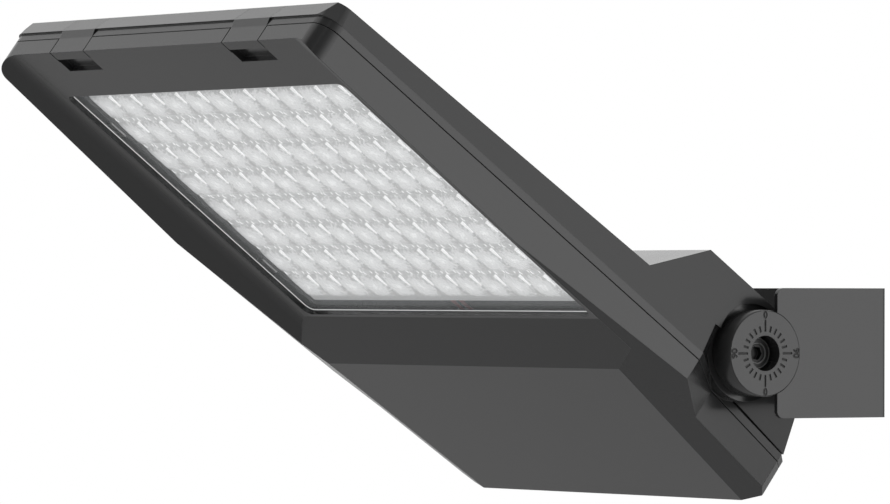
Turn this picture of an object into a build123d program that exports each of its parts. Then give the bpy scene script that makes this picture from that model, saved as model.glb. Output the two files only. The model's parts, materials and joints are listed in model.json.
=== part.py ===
"""LED floodlight on a tilting U bracket, built the way the real one is built.

The frame of this file has its origin in the middle of the bracket's back face,
+X pointing away from the wall or pole, +Y towards the side with the tilt dial
and +Z up. The lamp head is drawn level, about its own tilt axis, and is turned
up to its resting tilt when it is written.

Head frame used below: x runs from the tilt axis to the tip of the head, y across
it and z up. The light leaves downwards, through the glass of the hinged door.
"""

import math
import os

from build123d import *

# Tilt and place of the head
REST_TILT = 37.1
PIVOT_REACH = 99.0

# Outline of the head, seen from above
NOSE_X = 381.5
NOSE_HALF = 193.5
NOSE_CORNER_R = 14.0
STEP_X = 36.0
STEP_HALF = 207.0
RECESS_X = 2.0
RECESS_HALF = 183.2
REAR_CHAMFER_X = -74.5
REAR_CHAMFER_HALF = 172.8
REAR_X = -82.5
REAR_HALF = 165.6
FLARE = (STEP_HALF - NOSE_HALF) / (NOSE_X - STEP_X)

# Levels of the head, above the tilt axis
SEAM_Z = -32.2
SEAM_GAP = 0.3
CREASE_Z = -26.6
NOSE_TOP_Z = -13.4
BEZEL_Z = -44.0
COVER_Z = -59.4
BOX_TOP_Z = 35.6

# Side view of the upper housing
CREASE_NOSE_X = 382.8
NOSE_TOP_X = 377.6
BOX_FOOT_X = 99.0
BOX_FOOT_Z = -4.6
BOX_FRONT_X = 62.6
BOX_BACK_X = -62.0
SIDE_LEAN = 12.0

# Recess beside the tilt joint
CEILING_FRONT_Z = -4.0
CEILING_REAR_Z = 8.0
UPPER_RECESS_X = 36.5
UPPER_RECESS_HALF = 201.5
INNER_RECESS_HALF = 178.2
INNER_RECESS_REAR_HALF = 164.8
GROOVE_HIGH_Z = -22.4
GROOVE_DEPTH = 3.5
REAR_STEP = 2.0

# Door: rim, cheeks, cover and glass opening
APERTURE_FRONT_X = 336.2
APERTURE_REAR_X = 97.0
APERTURE_HALF = 168.0
APERTURE_CORNER_R = 6.0
CHEEK_CREASE_HALF = 177.5
CHEEK_KINK = (190.7, -200.4, -56.6)
COVER_EDGE_X = 61.7
BEVEL_FRONT_X = 94.6
DOOR_WALL = 3.0
RIM_WALL = 10.0

# Tilt joint
LAND_R = 31.4
LAND_HALF = 193.4
POCKET_R = 31.8
HUB_R = 27.8
HUB_INNER_HALF = 194.0
HUB_OUTER_HALF = 213.0
HUB_MOUTH_R = 11.3
HUB_FLOOR_HALF = 198.2
HUB_EDGE = 0.6
TICK_COUNT = 24
TICK_WIDTH = 1.0
TICK_DEPTH = 0.4
TICK_INNER_R = 14.0
TICK_SHORT_R = 17.7
TICK_LONG_R = 21.4
WASHER_THICKNESS = 0.5
WASHER_R = 26.0
PIVOT_BOLT_R = 5.0
PIVOT_BOLT_CLEARANCE = 0.05
PIVOT_BOLT_REACH = 164.0
BOLT_HEAD_R = 10.2
BOLT_HEAD_HEIGHT = 5.9
BOLT_SOCKET_MOUTH_R = 6.1
BOLT_SOCKET_R = 4.7
BOLT_SOCKET_DEPTH = 5.0

# Bracket
BRACKET_HALF = 212.5
BRACKET_SHEET = 3.0
BRACKET_HEIGHT = 83.6
BRACKET_LENGTH = 89.0
BRACKET_CORNER_R = 5.0
BRACKET_BEND_R = 4.0
WALL_HOLE_R = 6.5
WALL_HOLE_SPACING = 300.0
CENTRE_HOLE_R = 9.0

# Latches on the nose
LATCH_HALF_SPACING = 106.5
LATCH_WIDTH = 41.6
LATCH_SLOT = 42.0
DOOR_LATCH_SLOT = 43.6
LATCH_SHEET = 2.5
LATCH_LIP_X = 374.0
LATCH_PIN = (375.4, -18.6)
LATCH_PIN_R = 1.25
LATCH_BARREL_R = 2.6
FINGER_X = 362.0
FINGER_Z = -39.7
STRIKE_X = 376.0
STRIKE_Z = -40.8

# Light source: rows run along the head, columns across it
LED_COLUMNS = 12
LED_ROWS = 8
LED_PITCH = 28.0
LED_CENTRE_X = 0.5 * (APERTURE_FRONT_X + APERTURE_REAR_X)
HEAT_FLOOR_Z = -28.9
HEAT_TOP_Z = -22.0
BOARD = 1.6
CHIP = 5.0
CHIP_HEIGHT = 0.7
LENS_PLATE = 2.3
LENS_RELIEF = 1.0
LENS_RISE = 2.4
LENS_LENGTH = 25.4
LENS_WIDTH = 26.0
LENS_TAPER = 38.0

# Glass and seals
GLASS = 4.0
GLASS_SEAT_Z = -41.0
GLASS_GASKET = 1.0
GLASS_FRONT_X = 348.0
GLASS_REAR_X = 89.0
GLASS_HALF = 176.0
SEAL_WIDTH = 4.0
SEAL_INSET = 5.5
SEAL_DEPTH = 2.6
SEAL_SLACK = 0.05
CLIP_WIDTH = 14.0
CLIP_SHEET = 1.2
CLIP_SCREW_R = 1.5
CLIP_SCREW_HEAD_R = 2.8

# Door hinge at the rear
HINGE_X = -86.1
HINGE_Z = -32.2
HINGE_HALF_SPACING = 105.0
HINGE_KNUCKLE_R = 3.2
HINGE_PIN_R = 1.6
HINGE_DOOR_WIDTH = 20.0
HINGE_EAR_WIDTH = 8.0
HINGE_SIDE_GAP = 0.2


# Hollows of the two castings
CASTING_WALL = 5.0
BAY_HALF = 156.0
BAY_REAR_X = -69.0
BAY_FRONT_X = 85.0
SIDE_BAY_X = 44.0
SIDE_BAY_HALF = 190.0
SIDE_BAY_TOP_Z = -9.0
ARCH_HALF = 188.0
ARCH_LOW_Z = 15.0
FIN_REAR_X = 106.0
FIN_FRONT_X = 362.0
FIN_PITCH = 12.2
FIN_GAP = 9.2
FIN_SLOTS = 30
LIGHT_POCKET_REAR_X = 97.0
LIGHT_POCKET_FRONT_X = 342.0
LIGHT_POCKET_HALF = 172.0
CABLE_WAY = 24.0

# Driver compartment
TRAY = (104.0, 272.0, 1.5)
TRAY_Z = 21.0
DRIVER = (88.0, 200.0, 35.0)
DRIVER_FLANGE = (70.0, 232.0, 3.0)
SURGE_BOX = (44.0, 16.0, 28.0)
SURGE_Y = 124.5
TERMINAL = (40.0, 14.0, 16.0)
TERMINAL_Y = -125.0
TERMINAL_PITCH = 12.0
TERMINAL_WELL = 5.0
TERMINAL_WELL_R = 3.0
POST_R = 4.5
POST_X = 46.0
POST_Y = 129.0
TRAY_SCREW_R = 2.0
TRAY_SCREW_HEAD_R = 3.6
LEAD_R = 1.2
LEAD_SPACING = 10.0
EARTH_SCREW_R = 2.5
EARTH_SCREW_Y = -148.0
EARTH_HEAD_R = 4.6
EARTH_POST_Z = 23.0
SCREW_HEAD = 2.4

# Cable gland and breather in the sloping rear wall
REAR_WALL_Z = 1.0
GLAND_HOLE_R = 10.0
GLAND_FLANGE_R = 12.5
GLAND_CAP_R = 10.5
GLAND_CORD_R = 4.5
VENT_Y = -60.0
VENT_HOLE_R = 5.0
VENT_CAP_R = 8.0

# Rear cover and cheeks of the door
COVER_EDGE_HALF = 171.1
COVER_REAR_HALF = 149.0
COVER_REAR_X = -81.0
COVER_LEAN_Z = -52.5
CHEEK_REACH = 220.9
CHEEK_BLEND_R = 28.0
GLASS_SLACK = 0.5
GLASS_TOP_Z = GLASS_SEAT_Z + GLASS_GASKET + GLASS
CLIP_LENGTH = 16.0
CLIP_SCREW_X = 3.5
CLIP_SCREW_HEAD = 1.5
CLIP_SCREW_DEPTH = 4.5
SHANK_SIDES = 8
CLIP_PLACES = [
    (140.0, 178.0, 90),
    (290.0, 178.0, 90),
    (140.0, -178.0, -90),
    (290.0, -178.0, -90),
    (350.0, 60.0, 0),
    (350.0, -60.0, 0),
]

# Swing room and grip of the latch pins
LATCH_SWING_R = 6.2
LATCH_PIN_GRIP = 5.0

os.makedirs("parts", exist_ok=True)
HEAD_SEAT = Location((PIVOT_REACH, 0, 0), (0, -REST_TILT, 0))
BRACKET_SEAT = Location((PIVOT_REACH, 0, 0))
SIDES = (1, -1)
BELOW = -70.0
BEYOND = 240.0


def write(builder, label, seat=HEAD_SEAT):
    """Moves a finished piece to its place, names it and writes its file."""
    placed = builder.part.moved(seat)
    placed.label = label
    export_step(placed, f"parts/{label}.step")


def half_width(x):
    """Half the width of the head at the crease, as if it had no recess."""
    return STEP_HALF + FLARE * (STEP_X - x)


def plane_through(a, b, c):
    """Plane through three points, with its normal pointing up."""
    first, second, third = Vector(*a), Vector(*b), Vector(*c)
    normal = (second - first).cross(third - first).normalized()
    if normal.Z < 0:
        normal = normal * -1
    return Plane(origin=first, z_dir=normal)


def block(xs, ys, zs, mode=Mode.ADD):
    """Plain block between two values on each axis."""
    middle = [(pair[0] + pair[1]) / 2 for pair in (xs, ys, zs)]
    size = [abs(pair[1] - pair[0]) for pair in (xs, ys, zs)]
    with Locations(tuple(middle)):
        Box(*size, mode=mode)


def across(centre, radius, y_from, y_to, mode=Mode.ADD):
    """Round bar along y, around a point given as x and z."""
    middle = (centre[0], (y_from + y_to) / 2, centre[1])
    with Locations(middle):
        Cylinder(radius, abs(y_to - y_from), rotation=(90, 0, 0), mode=mode)


def upright(x, y, radius, z_from, z_to, mode=Mode.ADD):
    """Round bar along z."""
    with Locations((x, y, (z_from + z_to) / 2)):
        Cylinder(radius, abs(z_to - z_from), mode=mode)


def prism(x, y, radius, sides, zs, mode=Mode.ADD):
    """Upright bar with a regular outline, between two heights."""
    with BuildSketch(Plane.XY.offset(zs[0])) as end:
        with Locations((x, y)):
            RegularPolygon(radius, sides)
    extrude(end.sketch, amount=zs[1] - zs[0], mode=mode)


def clip_screw(place):
    """Plan point of the screw in a glass clip."""
    x, y, turn = place
    return x + CLIP_SCREW_X * math.cos(math.radians(turn)), y + CLIP_SCREW_X * math.sin(math.radians(turn))


def mirrored(points):
    """Closed list of plan points on both sides of the middle."""
    return points + [(x, -y) for x, y in reversed(points)]


def plan_face(points, nose_radius=0.0):
    """Face of a plan, with the nose corners rounded."""
    with BuildSketch() as plan:
        with BuildLine():
            Polyline(*mirrored(points), close=True)
        make_face()
        if nose_radius:
            fillet(plan.vertices().group_by(Axis.X)[-1], radius=nose_radius)
    return plan.sketch


def side_face(points):
    """Face of a side view, standing in the middle plane of the head."""
    with BuildSketch(Plane.XZ) as view:
        with BuildLine():
            Polyline(*points, close=True)
        make_face()
    return view.sketch


OUTLINE = plan_face(
    [
        (NOSE_X, NOSE_HALF),
        (STEP_X, STEP_HALF),
        (RECESS_X, RECESS_HALF),
        (REAR_CHAMFER_X, REAR_CHAMFER_HALF),
        (REAR_X, REAR_HALF),
    ],
    NOSE_CORNER_R,
)
FULL_OUTLINE = plan_face(
    [(CREASE_NOSE_X, NOSE_HALF), (REAR_X, half_width(REAR_X))],
    NOSE_CORNER_R,
)
SIDE_VIEW = side_face(
    [
        (REAR_X, CREASE_Z),
        (REAR_X + REAR_STEP, GROOVE_HIGH_Z),
        (BOX_BACK_X, BOX_TOP_Z),
        (BOX_FRONT_X, BOX_TOP_Z),
        (BOX_FOOT_X, BOX_FOOT_Z),
        (NOSE_TOP_X, NOSE_TOP_Z),
        (CREASE_NOSE_X, CREASE_Z),
    ]
)
NOSE_VIEW = side_face(
    [
        (FINGER_X - CLIP_WIDTH, NOSE_TOP_Z),
        (NOSE_TOP_X, NOSE_TOP_Z),
        (CREASE_NOSE_X, CREASE_Z),
        (NOSE_X, SEAM_Z),
        (NOSE_X, BEZEL_Z),
        (FINGER_X - CLIP_WIDTH, BEZEL_Z),
    ]
)


def recess_face(side, inset=0.0):
    """Plan of what the upper housing loses beside the tilt joint."""
    lean = (INNER_RECESS_HALF - INNER_RECESS_REAR_HALF) / (RECESS_X - REAR_X)
    back = 2 * REAR_X
    back_half = INNER_RECESS_HALF - lean * (RECESS_X - back)
    points = [
        (UPPER_RECESS_X, BEYOND),
        (UPPER_RECESS_X, UPPER_RECESS_HALF),
        (RECESS_X, INNER_RECESS_HALF - inset),
        (back, back_half - inset),
        (back, BEYOND),
    ]
    with BuildSketch() as plan:
        with BuildLine():
            Polyline(*[(x, side * y) for x, y in points], close=True)
        make_face()
    return plan.sketch


def band_face(outer_inset, width):
    """Closed band of even width that runs inside the outline."""
    with BuildSketch() as band:
        add(offset(OUTLINE, amount=-outer_inset, mode=Mode.PRIVATE))
        inner = offset(OUTLINE, amount=-outer_inset - width, mode=Mode.PRIVATE)
        add(inner, mode=Mode.SUBTRACT)
    return band.sketch


def glass_face(margin=0.0):
    """Plan of the glass, or of the room around it."""
    with BuildSketch() as plan:
        with Locations(((GLASS_FRONT_X + GLASS_REAR_X) / 2, 0)):
            length = GLASS_FRONT_X - GLASS_REAR_X + 2 * margin
            Rectangle(length, 2 * (GLASS_HALF + margin))
    return plan.sketch


def aperture_face():
    """Plan of the opening that the light leaves through."""
    with BuildSketch() as plan:
        with Locations(((APERTURE_FRONT_X + APERTURE_REAR_X) / 2, 0)):
            length = APERTURE_FRONT_X - APERTURE_REAR_X
            RectangleRounded(length, 2 * APERTURE_HALF, APERTURE_CORNER_R)
    return plan.sketch


def raised(face, height):
    """The same face at another height."""
    return face.moved(Location((0, 0, height)))


REAR_FOOT_X = REAR_X + REAR_STEP
rear_slope = Vector(BOX_BACK_X - REAR_FOOT_X, 0, BOX_TOP_Z - GROOVE_HIGH_Z).normalized()
REAR_OUT = Vector(-rear_slope.Z, 0, rear_slope.X)
rear_share = (REAR_WALL_Z - GROOVE_HIGH_Z) / (BOX_TOP_Z - GROOVE_HIGH_Z)
REAR_WALL_X = REAR_FOOT_X + rear_share * (BOX_BACK_X - REAR_FOOT_X)


def rear_plane(y, lift=0.0):
    """Plane on the sloping rear wall of the driver box, facing away from it."""
    start = Vector(REAR_WALL_X, y, REAR_WALL_Z) + REAR_OUT * lift
    return Plane(origin=start, x_dir=(0, 1, 0), z_dir=REAR_OUT)


def rear_bar(y, radius, lift_from, lift_to, mode=Mode.ADD):
    """Round bar square to the sloping rear wall."""
    with BuildSketch(rear_plane(y, lift_from)) as end:
        Circle(radius)
    extrude(end.sketch, amount=lift_to - lift_from, mode=mode)


# Latch clip: it wraps the nose from the top edge to under the bezel
with BuildSketch(Plane.XZ) as clip_section:
    add(NOSE_VIEW)
    add(offset(NOSE_VIEW, amount=-LATCH_SHEET, kind=Kind.INTERSECTION, mode=Mode.PRIVATE), mode=Mode.SUBTRACT)
    with Locations(((LATCH_LIP_X + NOSE_X) / 2 + LATCH_SHEET, SEAM_Z)):
        Rectangle(NOSE_X - LATCH_LIP_X + 2 * LATCH_SHEET, -BELOW, mode=Mode.INTERSECT)
with BuildSketch(Plane.XZ) as slot_section:
    with Locations(((LATCH_LIP_X + NOSE_X) / 2 + LATCH_SHEET, SEAM_Z)):
        Rectangle(NOSE_X - LATCH_LIP_X + 4 * LATCH_SHEET, -BELOW)
    depth = LATCH_SHEET + SEAM_GAP
    add(offset(NOSE_VIEW, amount=-depth, kind=Kind.INTERSECTION, mode=Mode.PRIVATE), mode=Mode.SUBTRACT)

# Room beside the tilt joint, under a ceiling that climbs to the rear
ceiling = [
    (UPPER_RECESS_X, 0, CEILING_FRONT_Z),
    (UPPER_RECESS_X, 100, CEILING_FRONT_Z),
    (REAR_X, 0, CEILING_REAR_Z),
]
with BuildPart() as recesses:
    for side in SIDES:
        extrude(raised(recess_face(side), CREASE_Z), amount=BOX_TOP_Z - CREASE_Z)
    split(bisect_by=plane_through(*ceiling), keep=Keep.BOTTOM)

# Upper housing: finned heat sink in front, driver box behind, tilt lands at the sides
with BuildPart() as upper_housing:
    extrude(raised(FULL_OUTLINE, CREASE_Z), amount=BOX_TOP_Z - CREASE_Z, taper=SIDE_LEAN)
    extrude(SIDE_VIEW, amount=BEYOND, both=True, mode=Mode.INTERSECT)
    add(recesses.part, mode=Mode.SUBTRACT)
    for side in SIDES:
        groove = raised(recess_face(side, GROOVE_DEPTH), CREASE_Z)
        extrude(groove, amount=GROOVE_HIGH_Z - CREASE_Z, mode=Mode.SUBTRACT)
    seam_top = SEAM_Z + SEAM_GAP
    extrude(raised(OUTLINE, seam_top), amount=CREASE_Z - seam_top)
    for side in SIDES:
        across((0, 0), LAND_R, side * BAY_HALF, side * LAND_HALF)
        across((0, 0), POCKET_R, side * LAND_HALF, side * BEYOND, Mode.SUBTRACT)
        across((0, 0), PIVOT_BOLT_R, side * PIVOT_BOLT_REACH, side * LAND_HALF, Mode.SUBTRACT)

    # Driver bay with its side pockets, open below
    bay = side_face(
        [
            (BAY_REAR_X, BELOW),
            (BAY_FRONT_X, BELOW),
            (BAY_FRONT_X, 0.0),
            (BOX_FRONT_X - CASTING_WALL, BOX_TOP_Z - CASTING_WALL),
            (BOX_BACK_X + CASTING_WALL, BOX_TOP_Z - CASTING_WALL),
            (BAY_REAR_X, CREASE_Z),
        ]
    )
    extrude(bay, amount=BAY_HALF, both=True, mode=Mode.SUBTRACT)
    for side in SIDES:
        sides = (side * BAY_HALF, side * SIDE_BAY_HALF)
        block((SIDE_BAY_X, BAY_FRONT_X), sides, (BELOW, SIDE_BAY_TOP_Z), Mode.SUBTRACT)
        arch = (side * BAY_HALF, side * ARCH_HALF)
        block((BOX_BACK_X + 10, BOX_FRONT_X - 10), arch, (ARCH_LOW_Z, BOX_TOP_Z - CASTING_WALL), Mode.SUBTRACT)
        for x in (POST_X, -POST_X):
            upright(x, side * POST_Y, POST_R, TRAY_Z + TRAY[2], BOX_TOP_Z - CASTING_WALL)
            prism(x, side * POST_Y, TRAY_SCREW_R, SHANK_SIDES, (TRAY_Z, BOX_TOP_Z - CASTING_WALL), Mode.SUBTRACT)
    upright(0, EARTH_SCREW_Y, POST_R, EARTH_POST_Z, BOX_TOP_Z - CASTING_WALL)
    earth_hole = (EARTH_POST_Z, BOX_TOP_Z - CASTING_WALL)
    prism(0, EARTH_SCREW_Y, EARTH_SCREW_R, SHANK_SIDES, earth_hole, Mode.SUBTRACT)

    # Heat sink: light pocket below, cooling slots above
    pocket_x = (LIGHT_POCKET_REAR_X, LIGHT_POCKET_FRONT_X)
    pocket_y = (-LIGHT_POCKET_HALF, LIGHT_POCKET_HALF)
    block(pocket_x, pocket_y, (BELOW, HEAT_FLOOR_Z), Mode.SUBTRACT)
    block((BAY_FRONT_X - 1, LIGHT_POCKET_REAR_X + 1), (-CABLE_WAY / 2, CABLE_WAY / 2), (BELOW, HEAT_FLOOR_Z), Mode.SUBTRACT)
    with BuildSketch(Plane.XY.offset(HEAT_TOP_Z)):
        with Locations(((FIN_REAR_X + FIN_FRONT_X) / 2, 0)):
            with GridLocations(1, FIN_PITCH, 1, FIN_SLOTS):
                Rectangle(FIN_FRONT_X - FIN_REAR_X, FIN_GAP)
    extrude(amount=-HEAT_TOP_Z, mode=Mode.SUBTRACT)

    # Seats of the latches and of the rear fittings
    for side in SIDES:
        low, high = (side * LATCH_HALF_SPACING + end * LATCH_SLOT / 2 for end in (-1, 1))
        slot = slot_section.sketch.moved(Location((0, (low + high) / 2, 0)))
        extrude(slot, amount=LATCH_SLOT / 2, both=True, mode=Mode.SUBTRACT)
        across(LATCH_PIN, LATCH_SWING_R, low, high, Mode.SUBTRACT)
        across(LATCH_PIN, LATCH_PIN_R, low - LATCH_PIN_GRIP, high + LATCH_PIN_GRIP, Mode.SUBTRACT)
    rear_bar(0, GLAND_HOLE_R, -20, 20, Mode.SUBTRACT)
    rear_bar(VENT_Y, VENT_HOLE_R, -20, 20, Mode.SUBTRACT)

    # Hinge ears behind the rear wall
    for side in SIDES:
        middle = side * HINGE_HALF_SPACING
        inner = HINGE_DOOR_WIDTH / 2 + HINGE_SIDE_GAP
        for end in (1, -1):
            ear = (middle + end * inner, middle + end * (inner + HINGE_EAR_WIDTH))
            across((HINGE_X, HINGE_Z), HINGE_KNUCKLE_R, *ear)
            block((HINGE_X, REAR_X + 1), ear, (seam_top, HINGE_Z + HINGE_KNUCKLE_R))
            across((HINGE_X, HINGE_Z), HINGE_PIN_R, *ear, Mode.SUBTRACT)
write(upper_housing, "upper_housing")

# Door: lower halves of the rim, cheeks that run back from the nose, rear cover
near_points = [
    CHEEK_KINK,
    (COVER_EDGE_X, -COVER_EDGE_HALF, COVER_Z),
    (COVER_REAR_X, -COVER_REAR_HALF, COVER_Z),
]
far_points = [(x, -y, z) for x, y, z in near_points]
cross_bevel = [
    (BEVEL_FRONT_X, 0, BEZEL_Z),
    (BEVEL_FRONT_X, 100, BEZEL_Z),
    (COVER_EDGE_X, 0, COVER_Z),
]
rear_bevel = [
    (COVER_REAR_X, 0, COVER_Z),
    (COVER_REAR_X, 100, COVER_Z),
    (REAR_X, 0, COVER_LEAN_Z),
]
with BuildPart() as cheeks:
    for side in SIDES:
        with BuildSketch(Plane.YZ.offset(REAR_X)) as cheek:
            with BuildLine():
                slope = (COVER_Z - BEZEL_Z - 8) / (CHEEK_REACH - CHEEK_CREASE_HALF)
                low = BEZEL_Z + slope * (BEYOND - CHEEK_CREASE_HALF)
                Polyline(
                    (side * APERTURE_HALF, BEZEL_Z + 1),
                    (side * APERTURE_HALF, BEZEL_Z),
                    (side * CHEEK_CREASE_HALF, BEZEL_Z),
                    (side * BEYOND, low),
                    (side * BEYOND, BEZEL_Z + 1),
                    close=True,
                )
            make_face()
            crease = cheek.vertices().sort_by_distance((side * CHEEK_CREASE_HALF, BEZEL_Z, 0))
            fillet(crease[0], radius=CHEEK_BLEND_R)
        extrude(amount=NOSE_X - REAR_X + 1)
    extrude(raised(OUTLINE, BELOW), amount=-BELOW, mode=Mode.INTERSECT)
    split(bisect_by=plane_through(*near_points), keep=Keep.TOP)
    split(bisect_by=plane_through(*far_points), keep=Keep.TOP)
with BuildPart() as cover:
    extrude(raised(OUTLINE, COVER_Z), amount=BEZEL_Z - COVER_Z)
    split(bisect_by=plane_through(*near_points), keep=Keep.TOP)
    split(bisect_by=plane_through(*far_points), keep=Keep.TOP)
    split(bisect_by=plane_through(*cross_bevel), keep=Keep.TOP)
    split(bisect_by=plane_through(*rear_bevel), keep=Keep.TOP)
with BuildPart() as cover_hollow:
    block((BAY_REAR_X, BAY_FRONT_X), (-BAY_HALF, BAY_HALF), (COVER_Z + DOOR_WALL, 0))
    for side in SIDES:
        block((SIDE_BAY_X, BAY_FRONT_X), (side * BAY_HALF, side * SIDE_BAY_HALF), (COVER_Z + DOOR_WALL, 0))
    for edge in (near_points, far_points, cross_bevel):
        split(bisect_by=plane_through(*edge).offset(DOOR_WALL + 1), keep=Keep.TOP)
with BuildPart() as door_frame:
    extrude(raised(OUTLINE, BEZEL_Z), amount=SEAM_Z - SEAM_GAP - BEZEL_Z)
    add(cheeks.part)
    add(cover.part)
    add(cover_hollow.part, mode=Mode.SUBTRACT)
    extrude(raised(aperture_face(), BELOW), amount=-BELOW, mode=Mode.SUBTRACT)
    extrude(raised(glass_face(GLASS_SLACK), GLASS_SEAT_Z), amount=-GLASS_SEAT_Z, mode=Mode.SUBTRACT)
    door_top = SEAM_Z - SEAM_GAP
    extrude(raised(band_face(SEAL_INSET, SEAL_WIDTH), door_top - SEAL_DEPTH), amount=SEAL_DEPTH, mode=Mode.SUBTRACT)
    for place in CLIP_PLACES:
        with Locations(Location((place[0], place[1], (GLASS_TOP_Z + door_top) / 2), (0, 0, place[2]))):
            Box(CLIP_LENGTH + 1, CLIP_WIDTH + 1, door_top - GLASS_TOP_Z, mode=Mode.SUBTRACT)
        depths = (GLASS_TOP_Z - CLIP_SCREW_DEPTH, GLASS_TOP_Z)
        prism(*clip_screw(place), CLIP_SCREW_R, SHANK_SIDES, depths, Mode.SUBTRACT)
    for side in SIDES:
        low, high = (side * LATCH_HALF_SPACING + end * DOOR_LATCH_SLOT / 2 for end in (-1, 1))
        slot = slot_section.sketch.moved(Location((0, (low + high) / 2, 0)))
        extrude(slot, amount=DOOR_LATCH_SLOT / 2, both=True, mode=Mode.SUBTRACT)
        block((LATCH_LIP_X, NOSE_X + 1), (low, high), (BELOW, STRIKE_Z), Mode.SUBTRACT)
        block((FINGER_X, LATCH_LIP_X), (low + 0.8, high - 0.8), (BELOW, FINGER_Z), Mode.SUBTRACT)
        middle = side * HINGE_HALF_SPACING
        knuckle = (middle - HINGE_DOOR_WIDTH / 2, middle + HINGE_DOOR_WIDTH / 2)
        across((HINGE_X, HINGE_Z), HINGE_KNUCKLE_R, *knuckle)
        block((HINGE_X, REAR_X + 1), knuckle, (HINGE_Z - HINGE_KNUCKLE_R, door_top))
        across((HINGE_X, HINGE_Z), HINGE_PIN_R + PIVOT_BOLT_CLEARANCE, *knuckle, Mode.SUBTRACT)
write(door_frame, "door_frame")

for label, side in (("near", 1), ("far", -1)):
    middle = side * LATCH_HALF_SPACING
    with BuildPart() as latch:
        section = clip_section.sketch.moved(Location((0, middle, 0)))
        extrude(section, amount=LATCH_WIDTH / 2, both=True)
        ends = (middle - LATCH_WIDTH / 2, middle + LATCH_WIDTH / 2)
        across(LATCH_PIN, LATCH_BARREL_R, *ends)
        across(LATCH_PIN, LATCH_PIN_R + PIVOT_BOLT_CLEARANCE, *ends, Mode.SUBTRACT)
    write(latch, f"latch_{label}")
    with BuildPart() as latch_pin:
        reach = LATCH_SLOT / 2 + LATCH_PIN_GRIP
        across(LATCH_PIN, LATCH_PIN_R, middle - reach, middle + reach)
    write(latch_pin, f"latch_pin_{label}")
    with BuildPart() as hinge_pin:
        reach = HINGE_DOOR_WIDTH / 2 + HINGE_SIDE_GAP + HINGE_EAR_WIDTH
        centre_y = side * HINGE_HALF_SPACING
        across((HINGE_X, HINGE_Z), HINGE_PIN_R, centre_y - reach, centre_y + reach)
    write(hinge_pin, f"hinge_pin_{label}")

# Glass in its gasket, held by screwed clips
with BuildPart() as glass_gasket:
    extrude(raised(glass_face(), GLASS_SEAT_Z), amount=GLASS_GASKET)
    extrude(raised(aperture_face(), GLASS_SEAT_Z), amount=GLASS_GASKET, mode=Mode.SUBTRACT)
write(glass_gasket, "glass_gasket")
with BuildPart() as glass:
    extrude(raised(glass_face(), GLASS_SEAT_Z + GLASS_GASKET), amount=GLASS)
write(glass, "glass")
with BuildPart() as glass_clips:
    for place in CLIP_PLACES:
        with Locations(Location((place[0], place[1], GLASS_TOP_Z + CLIP_SHEET / 2), (0, 0, place[2]))):
            Box(CLIP_LENGTH, CLIP_WIDTH, CLIP_SHEET)
        through = (GLASS_TOP_Z, GLASS_TOP_Z + CLIP_SHEET)
        prism(*clip_screw(place), CLIP_SCREW_R, SHANK_SIDES, through, Mode.SUBTRACT)
write(glass_clips, "glass_clips")
with BuildPart() as clip_screws:
    for place in CLIP_PLACES:
        under_head = GLASS_TOP_Z + CLIP_SHEET
        prism(*clip_screw(place), CLIP_SCREW_HEAD_R, 6, (under_head, under_head + CLIP_SCREW_HEAD))
        prism(*clip_screw(place), CLIP_SCREW_R, SHANK_SIDES, (GLASS_TOP_Z - CLIP_SCREW_DEPTH, under_head))
write(clip_screws, "glass_clip_screws")
with BuildPart() as door_seal:
    seal = raised(band_face(SEAL_INSET, SEAL_WIDTH), door_top - SEAL_DEPTH)
    extrude(seal, amount=seam_top - SEAL_SLACK - door_top + SEAL_DEPTH)
write(door_seal, "door_seal")

# Light source: four boards, each with its plate of lenses
QUARTERS = {
    "front_near": (0.25, 0.25),
    "front_far": (0.25, -0.25),
    "rear_near": (-0.25, 0.25),
    "rear_far": (-0.25, -0.25),
}
LIGHT_LENGTH = LED_ROWS * LED_PITCH
LIGHT_WIDTH = LED_COLUMNS * LED_PITCH
BOARD_LOW_Z = HEAT_FLOOR_Z - BOARD
LENS_LOW_Z = BOARD_LOW_Z - LENS_PLATE
for label, (along, sideways) in QUARTERS.items():
    centre = (LED_CENTRE_X + along * LIGHT_LENGTH, sideways * LIGHT_WIDTH)
    with BuildPart() as board:
        with BuildSketch(Plane.XY.offset(BOARD_LOW_Z)):
            with Locations(centre):
                Rectangle(LIGHT_LENGTH / 2 - 0.6, LIGHT_WIDTH / 2 - 0.6)
        extrude(amount=BOARD)
    write(board, f"led_board_{label}")
    with BuildPart() as lens_plate:
        with BuildSketch(Plane.XY.offset(LENS_LOW_Z)):
            with Locations(centre):
                Rectangle(LIGHT_LENGTH / 2 - 0.4, LIGHT_WIDTH / 2 - 0.4)
        extrude(amount=LENS_PLATE)
        with BuildSketch(Plane.XY.offset(BOARD_LOW_Z)):
            with Locations(centre):
                Rectangle(LIGHT_LENGTH / 2 - 8, LIGHT_WIDTH / 2 - 8)
        extrude(amount=-LENS_RELIEF, mode=Mode.SUBTRACT)
        with BuildSketch(Plane.XY.offset(LENS_LOW_Z)) as domes:
            with Locations(centre):
                with GridLocations(LED_PITCH, LED_PITCH, LED_ROWS // 2, LED_COLUMNS // 2):
                    Rectangle(LENS_LENGTH, LENS_WIDTH)
        extrude(amount=-LENS_RISE, taper=LENS_TAPER)
    write(lens_plate, f"lens_plate_{label}")
with BuildPart() as led_chips:
    with BuildSketch(Plane.XY.offset(BOARD_LOW_Z)):
        with Locations((LED_CENTRE_X, 0)):
            with GridLocations(LED_PITCH, LED_PITCH, LED_ROWS, LED_COLUMNS):
                Rectangle(CHIP, CHIP)
    extrude(amount=-CHIP_HEIGHT)
write(led_chips, "led_chips")

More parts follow.
